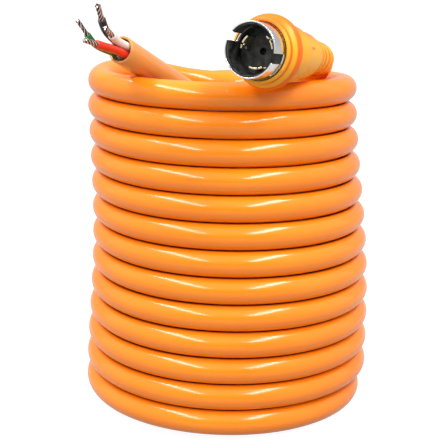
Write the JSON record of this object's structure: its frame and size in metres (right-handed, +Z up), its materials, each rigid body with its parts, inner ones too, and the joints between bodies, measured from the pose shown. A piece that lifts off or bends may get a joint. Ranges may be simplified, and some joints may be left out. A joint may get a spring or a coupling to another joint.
{
  "type": "shore power cord",
  "caption": "Coiled orange shore power cord with a moulded locking plug at one end and stripped wires at the other.",
  "frame": {"origin": "middle of the footprint of the whole object, on the surface that the coil stands on", "axes": "+Z up through the coil; the plug and the stripped wires point to -Y, the plug on the +X side"},
  "size_m": [0.3084, 0.3585, 0.4374],
  "materials": {
    "jacket": "glossy orange jacket",
    "filler": "dull black filler cord",
    "wire_red": "red wire insulation",
    "wire_black": "black wire insulation",
    "wire_white": "white wire insulation",
    "wire_green": "green wire insulation",
    "strand": "tinned copper strands",
    "shell_steel": "bright drawn steel",
    "black_moulding": "satin black moulding",
    "gasket_rubber": "dull black rubber",
    "plug_orange": "satin yellow-orange moulding",
    "zinc_steel": "zinc-plated steel",
    "blade_brass": "nickel-washed brass"
  },
  "bodies": {
    "root": {"coil_cord": "jacket", "plug_lead": "jacket", "inner_riser": "jacket", "jacket_end": "jacket", "cord_fillers": "filler", "insulation_red": "wire_red", "insulation_black": "wire_black", "insulation_white": "wire_white", "insulation_green": "wire_green", "strands_red": "strand", "strands_black": "strand", "strands_white": "strand", "strands_green": "strand", "plug_shell": "shell_steel", "shell_liner": "black_moulding", "shell_gasket": "gasket_rubber", "front_collar": "plug_orange", "plug_body": "plug_orange", "strain_relief": "plug_orange", "face_insulator": "black_moulding", "contact_carrier": "black_moulding", "carrier_screws": "zinc_steel", "blade_x": "blade_brass", "blade_y": "blade_brass", "blade_neutral": "blade_brass", "ground_strap": "zinc_steel", "crimp_barrels": "blade_brass", "tail_red": "wire_red", "tail_black": "wire_black", "tail_white": "wire_white", "tail_green": "wire_green", "cord_clamp": "zinc_steel"}
  },
  "joints": []
}
